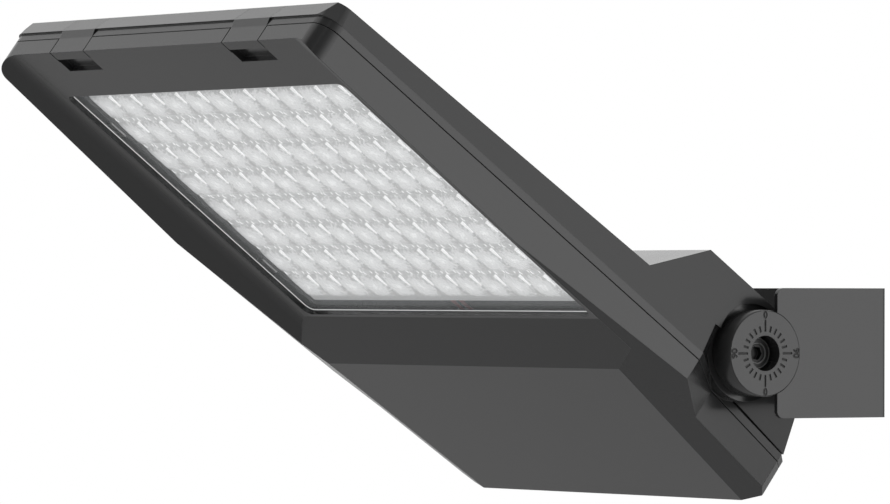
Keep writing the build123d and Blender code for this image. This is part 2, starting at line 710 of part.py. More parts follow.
# Driver compartment
with BuildPart() as tray:
    block((-TRAY[0] / 2, TRAY[0] / 2), (-TRAY[1] / 2, TRAY[1] / 2), (TRAY_Z, TRAY_Z + TRAY[2]))
    for x in (POST_X, -POST_X):
        for y in (POST_Y, -POST_Y):
            prism(x, y, TRAY_SCREW_R, SHANK_SIDES, (TRAY_Z, TRAY_Z + TRAY[2]), Mode.SUBTRACT)
write(tray, "driver_tray")
with BuildPart() as tray_screws:
    for x in (POST_X, -POST_X):
        for y in (POST_Y, -POST_Y):
            prism(x, y, TRAY_SCREW_HEAD_R, 6, (TRAY_Z - SCREW_HEAD, TRAY_Z))
            prism(x, y, TRAY_SCREW_R, SHANK_SIDES, (TRAY_Z, BOX_TOP_Z - CASTING_WALL))
write(tray_screws, "driver_tray_screws")
with BuildPart() as driver:
    block((-DRIVER[0] / 2, DRIVER[0] / 2), (-DRIVER[1] / 2, DRIVER[1] / 2), (TRAY_Z - DRIVER[2], TRAY_Z))
    fillet(driver.edges().filter_by(Axis.Y).group_by(Axis.Z)[0], radius=3)
write(driver, "led_driver")
with BuildPart() as surge:
    half = SURGE_BOX[1] / 2
    block((-SURGE_BOX[0] / 2, SURGE_BOX[0] / 2), (SURGE_Y - half, SURGE_Y + half), (TRAY_Z - SURGE_BOX[2], TRAY_Z))
write(surge, "surge_protector")
with BuildPart() as terminal:
    half = TERMINAL[1] / 2
    block((-TERMINAL[0] / 2, TERMINAL[0] / 2), (TERMINAL_Y - half, TERMINAL_Y + half), (TRAY_Z - TERMINAL[2], TRAY_Z))
    for step in (-1, 0, 1):
        well = (TRAY_Z - TERMINAL[2], TRAY_Z - TERMINAL[2] + TERMINAL_WELL)
        prism(step * TERMINAL_PITCH, TERMINAL_Y, TERMINAL_WELL_R, SHANK_SIDES, well, Mode.SUBTRACT)
write(terminal, "terminal_block")
with BuildPart() as earth_screw:
    prism(0, EARTH_SCREW_Y, EARTH_HEAD_R, 6, (EARTH_POST_Z - SCREW_HEAD, EARTH_POST_Z))
    prism(0, EARTH_SCREW_Y, EARTH_SCREW_R, SHANK_SIDES, earth_hole)
write(earth_screw, "earth_screw")
lead_z = HEAT_FLOOR_Z - BOARD + 0.1
lead_path = [
    (DRIVER[0] / 2, 0),
    (BAY_FRONT_X - 8, 0),
    (BAY_FRONT_X - 8, lead_z),
    (LED_CENTRE_X - LIGHT_LENGTH / 2, lead_z),
]
with BuildPart() as light_leads:
    for y in (-LEAD_SPACING / 2, LEAD_SPACING / 2):
        with BuildLine():
            Polyline(*[(x, y, z) for x, z in lead_path])
        with BuildSketch(Plane(origin=(DRIVER[0] / 2, y, 0), z_dir=(1, 0, 0))):
            RegularPolygon(LEAD_R, SHANK_SIDES)
        sweep(transition=Transition.RIGHT)
write(light_leads, "light_leads")
with BuildPart() as mains_leads:
    for step in (-1, 0, 1):
        start = (step * TERMINAL_PITCH, TERMINAL_Y + TERMINAL[1] / 2, TRAY_Z - TERMINAL[2] / 2)
        with BuildSketch(Plane(origin=start, z_dir=(0, 1, 0))):
            RegularPolygon(LEAD_R, SHANK_SIDES)
    extrude(amount=-DRIVER[1] / 2 - TERMINAL_Y - TERMINAL[1] / 2)
write(mains_leads, "mains_leads")

# Rear fittings
with BuildPart() as gland_body:
    with BuildSketch(rear_plane(0)):
        RegularPolygon(GLAND_FLANGE_R, 6)
    extrude(amount=4)
    rear_bar(0, GLAND_CAP_R - 2, 4, 9)
    rear_bar(0, GLAND_HOLE_R, -17, 0)
    rear_bar(0, GLAND_CORD_R + 2, -17, 9, Mode.SUBTRACT)
write(gland_body, "gland_body")
with BuildPart() as gland_seal:
    rear_bar(0, GLAND_CORD_R + 2, -2, 9)
    rear_bar(0, GLAND_CORD_R, -2, 9, Mode.SUBTRACT)
write(gland_seal, "gland_seal")
with BuildPart() as gland_cap:
    rear_bar(0, GLAND_CAP_R, 4, 13)
    chamfer(gland_cap.edges().filter_by(GeomType.CIRCLE).sort_by(Axis.X)[0], length=2)
    rear_bar(0, GLAND_CAP_R - 2, 4, 9, Mode.SUBTRACT)
    rear_bar(0, GLAND_CORD_R, 9, 13, Mode.SUBTRACT)
write(gland_cap, "gland_cap")
with BuildPart() as gland_nut:
    with BuildSketch(rear_plane(0, -15.5)):
        RegularPolygon(GLAND_FLANGE_R, 6)
    extrude(amount=4)
    rear_bar(0, GLAND_HOLE_R, -15.5, -11.5, Mode.SUBTRACT)
write(gland_nut, "gland_nut")
with BuildPart() as vent:
    rear_bar(VENT_Y, VENT_CAP_R, 0, 4)
    rear_bar(VENT_Y, VENT_HOLE_R, -8, 0)
    chamfer(vent.edges().filter_by(GeomType.CIRCLE).sort_by(Axis.X)[0], length=1)
write(vent, "breather_vent")

# Tilt joint: numbered hub, friction washer and pivot bolt on each side
for label, side in (("near", 1), ("far", -1)):
    face = Plane(origin=(0, side * HUB_OUTER_HALF, 0), x_dir=(1, 0, 0), z_dir=(0, side, 0))
    with BuildPart() as hub:
        across((0, 0), HUB_R, side * HUB_INNER_HALF, side * HUB_OUTER_HALF)
        rim = hub.edges().filter_by(GeomType.CIRCLE).sort_by(Axis.Y)
        chamfer(rim[-1] if side > 0 else rim[0], length=HUB_EDGE)
        across((0, 0), HUB_MOUTH_R, side * HUB_FLOOR_HALF, side * BEYOND, Mode.SUBTRACT)
        across((0, 0), PIVOT_BOLT_R + PIVOT_BOLT_CLEARANCE, side * LAND_HALF, side * BEYOND, Mode.SUBTRACT)
        with BuildSketch(face):
            for tick in range(TICK_COUNT):
                outer_r = TICK_SHORT_R if tick % 6 else TICK_LONG_R
                with PolarLocations((outer_r + TICK_INNER_R) / 2, 1, tick * 360 / TICK_COUNT):
                    Rectangle(outer_r - TICK_INNER_R, TICK_WIDTH)
        extrude(amount=-TICK_DEPTH, mode=Mode.SUBTRACT)
    write(hub, f"dial_hub_{label}", BRACKET_SEAT)
    with BuildPart() as washer:
        across((0, 0), WASHER_R, side * LAND_HALF, side * (LAND_HALF + WASHER_THICKNESS))
        across((0, 0), PIVOT_BOLT_R, side * LAND_HALF, side * BEYOND, Mode.SUBTRACT)
    write(washer, f"friction_washer_{label}")
    with BuildPart() as bolt:
        under = HUB_FLOOR_HALF + PIVOT_BOLT_CLEARANCE
        top = under + BOLT_HEAD_HEIGHT
        across((0, 0), BOLT_HEAD_R, side * under, side * top)
        across((0, 0), PIVOT_BOLT_R, side * PIVOT_BOLT_REACH, side * under)
        across((0, 0), BOLT_SOCKET_MOUTH_R, side * (top - 1), side * top, Mode.SUBTRACT)
        with BuildSketch(Plane(origin=(0, side * top, 0), z_dir=(0, side, 0))):
            RegularPolygon(BOLT_SOCKET_R, 6)
        extrude(amount=-BOLT_SOCKET_DEPTH, mode=Mode.SUBTRACT)
    write(bolt, f"pivot_bolt_{label}")

# Bracket: one bent sheet with a wide web and two side plates
with BuildPart() as bracket:
    back = -PIVOT_REACH
    front = back + BRACKET_LENGTH
    with BuildSketch(Plane.XY.offset(-BRACKET_HEIGHT / 2)) as channel:
        with BuildLine():
            Polyline(*mirrored([(front, BRACKET_HALF), (back, BRACKET_HALF)]), close=True)
        make_face()
        fillet(channel.vertices().group_by(Axis.X)[0], radius=BRACKET_BEND_R)
        with BuildLine():
            inner_half = BRACKET_HALF - BRACKET_SHEET
            Polyline(*mirrored([(front + 1, inner_half), (back + BRACKET_SHEET, inner_half)]), close=True)
        make_face(mode=Mode.SUBTRACT)
    extrude(amount=BRACKET_HEIGHT)
    corners = bracket.edges().filter_by(Axis.Y).group_by(Axis.X)[-1]
    fillet(corners, radius=BRACKET_CORNER_R)
    for side in SIDES:
        across((0, 0), HUB_R, side * HUB_INNER_HALF, side * BEYOND, Mode.SUBTRACT)
    web = Plane(origin=(back, 0, 0), x_dir=(0, 1, 0), z_dir=(-1, 0, 0))
    with BuildSketch(web):
        Circle(CENTRE_HOLE_R)
        with GridLocations(WALL_HOLE_SPACING, 1, 2, 1):
            Circle(WALL_HOLE_R)
    extrude(amount=-BRACKET_SHEET, mode=Mode.SUBTRACT)
write(bracket, "yoke_bracket", BRACKET_SEAT)
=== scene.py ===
"""Looks of the LED floodlight: finishes, markings, optics, light and camera.

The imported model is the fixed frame, in metres: the origin is in the middle of
the bracket's back face, +X points to the tip of the head and +Z up. The pieces
of the head are laid out in the head's own millimetres, with x along the head
from the tilt axis, y across it and z through it, and HeadSeat places them.
"""

import json
import logging
import math
from dataclasses import dataclass, field
from enum import Enum

import bmesh
import bpy
from mathutils import Matrix, Vector

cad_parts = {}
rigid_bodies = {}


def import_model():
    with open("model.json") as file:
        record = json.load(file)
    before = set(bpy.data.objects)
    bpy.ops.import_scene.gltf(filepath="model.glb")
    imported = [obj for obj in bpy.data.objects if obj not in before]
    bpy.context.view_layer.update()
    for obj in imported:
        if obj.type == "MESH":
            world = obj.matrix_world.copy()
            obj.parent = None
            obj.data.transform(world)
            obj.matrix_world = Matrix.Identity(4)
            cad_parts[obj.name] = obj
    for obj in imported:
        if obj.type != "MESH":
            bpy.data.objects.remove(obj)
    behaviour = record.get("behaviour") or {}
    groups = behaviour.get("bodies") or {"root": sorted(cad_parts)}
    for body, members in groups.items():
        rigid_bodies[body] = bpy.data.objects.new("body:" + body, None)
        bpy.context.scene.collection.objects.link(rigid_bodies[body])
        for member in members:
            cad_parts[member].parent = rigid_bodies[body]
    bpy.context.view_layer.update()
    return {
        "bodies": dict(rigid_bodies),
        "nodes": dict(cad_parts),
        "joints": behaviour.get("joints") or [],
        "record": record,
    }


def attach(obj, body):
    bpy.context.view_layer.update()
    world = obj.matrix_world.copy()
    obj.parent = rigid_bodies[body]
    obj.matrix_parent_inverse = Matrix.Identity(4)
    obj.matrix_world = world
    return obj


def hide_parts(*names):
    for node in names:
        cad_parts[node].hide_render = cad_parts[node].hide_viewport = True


LOG = logging.getLogger("floodlight")
MM = 0.001
BEVEL_SAMPLES = 4

Tree = bpy.types.NodeTree
Node = bpy.types.Node
Socket = bpy.types.NodeSocket
Mesh = bmesh.types.BMesh
Triple = tuple[float, float, float]
Pair = tuple[float, float]


def add_node(tree: Tree, kind: str, inputs: dict, **settings: object) -> Node:
    """Adds a shader node.

    Args:
        tree: node tree that gets it.
        kind: its type, without the word ShaderNode.
        inputs: a value or an output to link, by the name or number of the input.
        settings: its own settings, such as the operation.

    Returns:
        The new node.
    """
    node = tree.nodes.new(f"ShaderNode{kind}")
    for name, value in settings.items():
        setattr(node, name, value)
    for key, value in inputs.items():
        if isinstance(value, Socket):
            tree.links.new(value, node.inputs[key])
        else:
            node.inputs[key].default_value = value
    return node


@dataclass(frozen=True)
class HeadSeat:
    """Place and resting tilt of the lamp head on its bracket."""

    reach: float = 0.099
    tilt_deg: float = 37.1

    def matrix(self) -> Matrix:
        """Returns the matrix that takes head millimetres to model metres."""
        turn = Matrix.Rotation(-math.radians(self.tilt_deg), 4, "Y")
        place = Matrix.Translation((self.reach, 0.0, 0.0))
        return place @ turn @ Matrix.Scale(MM, 4)


@dataclass(frozen=True)
class Viewpoint:
    """Camera at the photograph's angle."""

    place: Triple = (2.5032, 3.4256, 0.0385)
    azimuth_deg: float = 33.88
    climb_deg: float = 0.37
    roll_deg: float = 0.13
    focal_mm: float = 253.3
    sensor_mm: float = 36.0
    far_clip: float = 60.0

    def axes(self) -> tuple[Vector, Vector, Vector]:
        """Works out the camera's own axes.

        Returns:
            The directions to the right, up and into the picture.
        """
        turn = math.radians(self.azimuth_deg)
        climb = math.radians(self.climb_deg)
        into = Vector(
            (
                -math.sin(turn) * math.cos(climb),
                -math.cos(turn) * math.cos(climb),
                math.sin(climb),
            )
        )
        right = into.cross(Vector((0.0, 0.0, 1.0))).normalized()
        up = right.cross(into)
        roll = math.radians(self.roll_deg)
        level_right, level_up = right.copy(), up.copy()
        right = level_right * math.cos(roll) + level_up * math.sin(roll)
        up = level_up * math.cos(roll) - level_right * math.sin(roll)
        return right, up, into

    def build(self) -> bpy.types.Object:
        """Makes the camera and gives it to the scene."""
        data = bpy.data.cameras.new("photo_camera")
        data.lens = self.focal_mm
        data.sensor_width = self.sensor_mm
        data.clip_end = self.far_clip
        camera = bpy.data.objects.new("photo_camera", data)
        bpy.context.scene.collection.objects.link(camera)
        right, up, into = self.axes()
        turn = Matrix((right, up, -into)).transposed().to_4x4()
        camera.matrix_world = Matrix.Translation(self.place) @ turn
        bpy.context.scene.camera = camera
        return camera


@dataclass(frozen=True)
class Studio:
    """White backdrop, a wide soft light from the near side, and a pale floor below.

    The surroundings have a low base tone, a bright lobe with the given swing
    round the bright side, and a white backdrop behind the lamp. The two bands
    say over which heights and depths of a unit direction the backdrop fades in.
    """

    floor_level: float = -9.0
    floor_radius: float = 58.0
    floor_sides: int = 96
    floor_tone: float = 0.8
    floor_roughness: float = 0.9
    base: float = 0.20
    swing: float = 2.2
    bright_side: Triple = (-0.55, 0.83, -0.05)
    falloff: float = 6.0
    backdrop: float = 1.0
    backdrop_heights: Pair = (-0.14, -0.08)
    backdrop_depths: Pair = (-0.1, -0.45)
    lamp_place: Triple = (0.3, 0.9, 2.6)
    lamp_target: Triple = (0.2, 0.0, 0.05)
    lamp_size: float = 2.2
    lamp_power: float = 6.0

    def world(self) -> None:
        """Sets surroundings that are bright on the near side and white behind the lamp."""
        world = bpy.data.worlds.new("white_studio")
        world.use_nodes = True
        tree = world.node_tree
        shade = tree.nodes["Background"]
        way = add_node(tree, "TexCoord", {}).outputs["Generated"]
        lobe = add_node(tree, "VectorMath", {0: way, 1: self.bright_side}, operation="DOT_PRODUCT")
        facing = self.math(tree, "MAXIMUM", lobe.outputs["Value"], 0.0)
        narrow = self.math(tree, "POWER", facing, self.falloff)
        level = self.math(tree, "MULTIPLY_ADD", narrow, self.swing, self.base)
        split = add_node(tree, "SeparateXYZ", {"Vector": way})
        above = self.fade(tree, split.outputs["Z"], self.backdrop_heights)
        behind = self.fade(tree, split.outputs["Y"], self.backdrop_depths)
        sheet = self.math(tree, "MULTIPLY", above, behind)
        sides = {"Factor": sheet, "A": level, "B": self.backdrop}
        mix = add_node(tree, "Mix", sides, data_type="FLOAT")
        tree.links.new(mix.outputs["Result"], shade.inputs["Strength"])
        shade.inputs["Color"].default_value = (1.0, 1.0, 1.0, 1.0)
        bpy.context.scene.world = world

    def math(self, tree: Tree, operation: str, *values: Socket | float) -> Socket:
        """Adds a sum of one operation and returns its result."""
        node = add_node(tree, "Math", dict(enumerate(values)), operation=operation)
        return node.outputs["Value"]

    def fade(self, tree: Tree, value: Socket, band: Pair) -> Socket:
        """Adds a soft step from 0 at the start of a band to 1 at its end."""
        inputs = {"From Min": band[0], "From Max": band[1], "Value": value}
        step = add_node(tree, "MapRange", inputs, interpolation_type="SMOOTHSTEP")
        return step.outputs["Result"]

    def floor(self) -> bpy.types.Object:
        """Builds the round floor, far enough below the lamp for views from under it."""
        shape = bmesh.new()
        bmesh.ops.create_circle(
            shape, cap_ends=True, radius=self.floor_radius, segments=self.floor_sides
        )
        mesh = bpy.data.meshes.new("floor")
        shape.to_mesh(mesh)
        shape.free()
        floor = bpy.data.objects.new("floor", mesh)
        floor.location = (0.0, 0.0, self.floor_level)
        material = bpy.data.materials.new("pale_floor")
        material.use_nodes = True
        shader = material.node_tree.nodes["Principled BSDF"]
        tone = self.floor_tone
        shader.inputs["Base Color"].default_value = (tone, tone, tone, 1.0)
        shader.inputs["Roughness"].default_value = self.floor_roughness
        mesh.materials.append(material)
        bpy.context.scene.collection.objects.link(floor)
        return floor

    def lamp(self) -> None:
        """Adds one soft square light above the lamp, which faces it."""
        data = bpy.data.lights.new("top_soft", "AREA")
        data.shape = "SQUARE"
        data.size = self.lamp_size
        data.energy = self.lamp_power
        light = bpy.data.objects.new("top_soft", data)
        place = Vector(self.lamp_place)
        light.location = place
        aim = Vector(self.lamp_target) - place
        light.rotation_euler = aim.to_track_quat("-Z", "Y").to_euler()
        bpy.context.scene.collection.objects.link(light)

    def build(self) -> None:
        """Sets the surroundings, the floor, the light and the tone curve."""
        self.world()
        self.floor()
        self.lamp()
        bpy.context.scene.view_settings.view_transform = "Standard"


@dataclass(frozen=True)
class Finish:
    """What all finishes share: a base colour, gloss, fine grain and softened edges."""

    name: str
    color: Triple = (0.5, 0.5, 0.5)
    roughness: float = 0.4
    metallic: float = 0.0
    grain_scale: float = 900.0
    grain_strength: float = 0.05
    grain_depth: float = 0.0001
    grain_detail: float = 2.0
    mottle: float = 0.06
    mottle_scale: float = 22.0
    mottle_detail: float = 4.0
    gloss_spread: float = 0.1
    edge_radius: float = 0.0005
    # how much lighter the painted highlight along the edges is
    edge_highlight: float = 0.0
    edge_band: Pair = (0.995, 0.85)

    def dress(self, tree: Tree, shader: Node) -> None:
        """Adds what only this finish has; plain finishes add nothing.

        Args:
            tree: node tree of the material.
            shader: its main shader.
        """

    def soft_normal(self, tree: Tree) -> Socket:
        """Adds the normal of softened edges and returns it."""
        inputs = {"Radius": self.edge_radius}
        return add_node(tree, "Bevel", inputs, samples=BEVEL_SAMPLES).outputs["Normal"]

    def noise(self, tree: Tree, scale: float, detail: float, **more: float) -> Socket:
        """Adds a noise in the object's own coordinates.

        Args:
            tree: node tree of the material.
            scale: how fine it is.
            detail: how many finer layers it has.
            more: its other inputs.

        Returns:
            Its value.
        """
        place = add_node(tree, "TexCoord", {}).outputs["Object"]
        inputs = {"Scale": scale, "Detail": detail, "Vector": place, **more}
        return add_node(tree, "TexNoise", inputs).outputs["Fac"]

    def grain(self, tree: Tree, shader: Node) -> None:
        """Adds the fine bump on softened edges.

        Args:
            tree: node tree of the material.
            shader: its main shader.
        """
        height = self.noise(tree, self.grain_scale, self.grain_detail)
        inputs = {
            "Strength": self.grain_strength,
            "Distance": self.grain_depth,
            "Height": height,
        }
        if self.edge_radius:
            inputs["Normal"] = self.soft_normal(tree)
        bump = add_node(tree, "Bump", inputs)
        tree.links.new(bump.outputs["Normal"], shader.inputs["Normal"])

    def edges(self, tree: Tree, color: Socket) -> Socket:
        """Paints a highlight along the edges, found where the softened normal leaves the face's
        own.

        Args:
            tree: node tree of the material.
            color: the colour of the faces.

        Returns:
            The colour with its painted edge highlights.
        """
        face = add_node(tree, "NewGeometry", {}).outputs["True Normal"]
        normals = {0: self.soft_normal(tree), 1: face}
        agree = add_node(tree, "VectorMath", normals, operation="DOT_PRODUCT")
        start, end = self.edge_band
        inputs = {"From Min": start, "From Max": end, "Value": agree.outputs["Value"]}
        highlight_mask = add_node(tree, "MapRange", inputs).outputs["Result"]
        # painted highlight: the edges get a lighter tone than the faces
        light = tuple(min(1.0, part + self.edge_highlight) for part in self.color)
        inputs = {"Factor": highlight_mask, "A": color, "B": (*light, 1.0)}
        return add_node(tree, "Mix", inputs, data_type="RGBA").outputs["Result"]

    def tone(self, tree: Tree, shader: Node) -> None:
        """Varies the colour and gloss slightly over the surface, and paints a highlight along the
        edges.

        Args:
            tree: node tree of the material.
            shader: its main shader.
        """
        cloud = self.noise(tree, self.mottle_scale, self.mottle_detail)
        low = tuple(part * (1.0 - self.mottle) for part in self.color)
        high = tuple(min(1.0, part * (1.0 + self.mottle)) for part in self.color)
        inputs = {"Factor": cloud, "A": (*low, 1.0), "B": (*high, 1.0)}
        color = add_node(tree, "Mix", inputs, data_type="RGBA").outputs["Result"]
        self.gloss(tree, shader, cloud, (1 - self.gloss_spread, 1 + self.gloss_spread))
        if self.edge_highlight:
            color = self.edges(tree, color)
        tree.links.new(color, shader.inputs["Base Color"])

    def gloss(self, tree: Tree, shader: Node, cloud: Socket, span: Pair) -> None:
        """Lets the roughness follow a noise.

        Args:
            tree: node tree of the material.
            shader: its main shader.
            cloud: the noise.
            span: lowest and highest share of the finish's own roughness.
        """
        low, high = (self.roughness * share for share in span)
        inputs = {"To Min": low, "To Max": high, "Value": cloud}
        step = add_node(tree, "MapRange", inputs)
        tree.links.new(step.outputs["Result"], shader.inputs["Roughness"])

    def material(self) -> bpy.types.Material:
        """Builds the material once.

        Returns:
            The material, the same one at each call.
        """
        found = bpy.data.materials.get(self.name)
        if found:
            return found
        material = bpy.data.materials.new(self.name)
        material.use_nodes = True
        tree = material.node_tree
        shader = tree.nodes["Principled BSDF"]
        shader.inputs["Base Color"].default_value = (*self.color, 1.0)
        shader.inputs["Metallic"].default_value = self.metallic
        self.tone(tree, shader)
        self.grain(tree, shader)
        self.dress(tree, shader)
        return material


@dataclass(frozen=True)
class PowderCoat(Finish):
    """Dark grey satin powder coat with a faint orange peel."""

    name: str = "powder_grey"
    color: Triple = (0.028, 0.0282, 0.0285)
    roughness: float = 0.2
    grain_scale: float = 1100.0
    grain_strength: float = 0.03
    mottle: float = 0.03
    # painted highlight along the coat's edges
    edge_highlight: float = 0.05


@dataclass(frozen=True)
class BrushedSteel(Finish):
    """Zinc-plated or ground steel with streaks along one axis."""

    name: str = "zinc_steel"
    color: Triple = (0.58, 0.58, 0.57)
    roughness: float = 0.3
    metallic: float = 1.0
    grain_strength: float = 0.02
    streak: Triple = (1.0, 30.0, 1.0)
    streak_scale: float = 160.0
    streak_detail: float = 3.0
    streak_gloss: Pair = (0.7, 1.4)

    def dress(self, tree: Tree, shader: Node) -> None:
        """Streaks the gloss along the brushed direction.

        Args:
            tree: node tree of the material.
            shader: its main shader.
        """
        place = add_node(tree, "TexCoord", {}).outputs["Object"]
        stretch = add_node(tree, "Mapping", {"Scale": self.streak, "Vector": place})
        inputs = {
            "Scale": self.streak_scale,
            "Detail": self.streak_detail,
            "Vector": stretch.outputs["Vector"],
        }
        streaks = add_node(tree, "TexNoise", inputs).outputs["Fac"]
        self.gloss(tree, shader, streaks, self.streak_gloss)


@dataclass(frozen=True)
class BlackOxide(Finish):
    """Blackened steel of the pivot bolts."""

    name: str = "black_oxide"
    color: Triple = (0.02, 0.02, 0.02)
    roughness: float = 0.35
    metallic: float = 0.6
    # painted highlight along the edges of the bolt heads
    edge_highlight: float = 0.25
    edge_radius: float = 0.0004


@dataclass(frozen=True)
class ClearGlass(Finish):
    """Front glass, with an IOR fitted to the photograph and lower than real glass has."""

    name: str = "clear_glass"
    color: Triple = (0.998, 0.998, 0.998)
    roughness: float = 0.0
    grain_strength: float = 0.0
    edge_radius: float = 0.0
    mottle: float = 0.0
    bending: float = 1.07
    wave_scale: float = 9.0
    wave_strength: float = 0.004
    wave_depth: float = 0.0002

    def dress(self, tree: Tree, shader: Node) -> None:
        """Lets light through and adds the faint waviness of tempered sheet.

        Args:
            tree: node tree of the material.
            shader: its main shader.
        """
        shader.inputs["Transmission Weight"].default_value = 1.0
        shader.inputs["IOR"].default_value = self.bending
        for link in list(shader.inputs["Roughness"].links):
            tree.links.remove(link)
        shader.inputs["Roughness"].default_value = self.roughness
        place = add_node(tree, "TexCoord", {}).outputs["Object"]
        wave = add_node(tree, "TexNoise", {"Scale": self.wave_scale, "Vector": place})
        inputs = {
            "Strength": self.wave_strength,
            "Distance": self.wave_depth,
            "Height": wave.outputs["Fac"],
        }
        bump = add_node(tree, "Bump", inputs)
        tree.links.new(bump.outputs["Normal"], shader.inputs["Normal"])


@dataclass(frozen=True)
class LensAcrylic(Finish):
    """Moulded acrylic over a white board: milky cells with a bright cloud in the middle.

    The stops say where, from the middle of a cell outwards, its cloud ends, its
    body starts and ends, and the valley between two cells starts. The glow is
    emission that stands in for scattered light: the lamp isn't lit.
    """

    name: str = "lens_acrylic"
    color: Triple = (0.78, 0.78, 0.78)
    roughness: float = 0.1
    grain_strength: float = 0.0
    edge_radius: float = 0.0002
    valley: Triple = (0.50, 0.50, 0.50)
    cloud: Triple = (0.99, 0.99, 0.99)
    stops: tuple[float, float, float, float] = (0.50, 0.62, 0.84, 0.98)
    glow: float = 0.56
    ripple_scale: float = 480.0
    ripple_detail: float = 3.0
    ripple_twist: float = 0.8
    ripple_weight: float = 0.9
    ripple_strength: float = 0.7
    ripple_depth: float = 0.0008

    def dress(self, tree: Tree, shader: Node) -> None:
        """Colours each cell from its own coordinates: valley, body and cloud.

        Args:
            tree: node tree of the material.
            shader: its main shader.
        """
        ripple = self.noise(
            tree, self.ripple_scale, self.ripple_detail, Distortion=self.ripple_twist
        )
        place = add_node(tree, "UVMap", {}).outputs["UV"]
        middle = {0: place, 1: (0.5, 0.5, 0.0)}
        centre = add_node(tree, "VectorMath", middle, operation="SUBTRACT").outputs["Vector"]
        reach = add_node(tree, "VectorMath", {0: centre}, operation="LENGTH").outputs["Value"]
        terms = {0: ripple, 1: self.ripple_weight, 2: reach}
        total = add_node(tree, "Math", terms, operation="MULTIPLY_ADD").outputs["Value"]
        blend = add_node(tree, "ValToRGB", {"Fac": total})
        ramp = blend.color_ramp
        tones = (self.cloud, self.color, self.color, self.valley)
        for index, (stop, tone) in enumerate(zip(self.stops, tones)):
            if index < 2:
                element = ramp.elements[index]
                element.position = stop
            else:
                element = ramp.elements.new(stop)
            element.color = (*tone, 1.0)
        tree.links.new(blend.outputs["Color"], shader.inputs["Base Color"])
        # the same colours drive the glow, so the bright cloud is the strongest painted glow of
        # each cell
        tree.links.new(blend.outputs["Color"], shader.inputs["Emission Color"])
        shader.inputs["Emission Strength"].default_value = self.glow
        inputs = {
            "Strength": self.ripple_strength,
            "Distance": self.ripple_depth,
            "Height": ripple,
        }
        bump = add_node(tree, "Bump", inputs)
        tree.links.new(bump.outputs["Normal"], shader.inputs["Normal"])


@dataclass(frozen=True)
class LitFinish(Finish):
    """A clear finish whose glow is painted light, though it is no lamp."""

    glow: float = 0.5

    def dress(self, tree: Tree, shader: Node) -> None:
        """Adds the glow.

        Args:
            tree: node tree of the material.
            shader: its main shader.
        """
        shader.inputs["Emission Color"].default_value = (*self.color, 1.0)
        shader.inputs["Emission Strength"].default_value = self.glow


@dataclass(frozen=True)
class HighlightPrism(LitFinish):
    """Polished acrylic of the small prisms, whose glow paints the highlight on the flank of each
    lens.
    """

    name: str = "prism_painted_highlight"
    color: Triple = (0.96, 0.96, 0.96)
    roughness: float = 0.06
    grain_strength: float = 0.02
    mottle: float = 0.03
    edge_radius: float = 0.0
    glow: float = 0.75


@dataclass(frozen=True)
class SolderMask(Finish):
    """White solder mask of the light boards."""

    name: str = "white_mask"
    color: Triple = (0.82, 0.82, 0.80)
    roughness: float = 0.35
    grain_strength: float = 0.02


@dataclass(frozen=True)
class Phosphor(Finish):
    """Yellow phosphor over the light chips."""

    name: str = "phosphor"
    color: Triple = (0.86, 0.66, 0.14)
    roughness: float = 0.25
    grain_strength: float = 0.02
    mottle: float = 0.1
    edge_radius: float = 0.0002


@dataclass(frozen=True)
class Rubber(Finish):
    """Matt black silicone rubber."""

    name: str = "silicone_black"
    color: Triple = (0.018, 0.018, 0.018)
    roughness: float = 0.6
    grain_scale: float = 1800.0
    grain_strength: float = 0.12


@dataclass(frozen=True)
class MouldedPlastic(Finish):
    """Black glass-filled plastic with a spark-eroded texture."""

    name: str = "moulded_black"
    color: Triple = (0.022, 0.022, 0.023)
    roughness: float = 0.45
    grain_scale: float = 2200.0
    grain_strength: float = 0.15
    # faint painted highlight along the plastic's edges
    edge_highlight: float = 0.02


@dataclass(frozen=True)
class CanMetal(Finish):
    """Plain rolled sheet of the driver's can and its tray."""

    name: str = "can_metal"
    color: Triple = (0.62, 0.63, 0.64)
    roughness: float = 0.34
    metallic: float = 1.0
    grain_scale: float = 300.0
    grain_strength: float = 0.06
    mottle: float = 0.12


@dataclass(frozen=True)
class LeadJacket(Finish):
    """Glossy insulation of the single wires."""

    name: str = "lead_red"
    color: Triple = (0.45, 0.03, 0.02)
    roughness: float = 0.3
    grain_strength: float = 0.03
    edge_radius: float = 0.0002


@dataclass(frozen=True)
class Sealant(LitFinish):
    """Clear sealant whose glow paints the bright line along the edge of the glass."""

    name: str = "sealant_painted_highlight"
    color: Triple = (0.80, 0.80, 0.80)
    roughness: float = 0.15
    grain_scale: float = 60.0
    grain_strength: float = 0.5
    grain_depth: float = 0.001
    mottle: float = 0.45
    edge_radius: float = 0.0
    glow: float = 0.35


@dataclass(frozen=True)
class Ink(Finish):
    """Dark paint in the engraved marks of the dial."""

    name: str = "mark_paint"
    color: Triple = (0.006, 0.006, 0.006)
    roughness: float = 0.5
    edge_radius: float = 0.0


class Side(Enum):
    """The two sides of the lamp."""

    NEAR = 1
    FAR = -1

    @property
    def label(self) -> str:
        """The side's word in the names of the nodes."""
        return self.name.lower()


def new_piece(name: str, shape: Mesh, finish: Finish, smooth: bool) -> bpy.types.Object:
    """Turns a finished shape into an object with one material.

    Args:
        name: name of the piece.
        shape: its mesh, in metres in the model's frame; it is freed here.
        finish: its finish.
        smooth: whether its faces are shaded smooth.

    Returns:
        The new object.
    """
    mesh = bpy.data.meshes.new(name)
    shape.normal_update()
    shape.to_mesh(mesh)
    shape.free()
    for polygon in mesh.polygons:
        polygon.use_smooth = smooth
    mesh.materials.append(finish.material())
    piece = bpy.data.objects.new(name, mesh)
    bpy.context.scene.collection.objects.link(piece)
    return piece


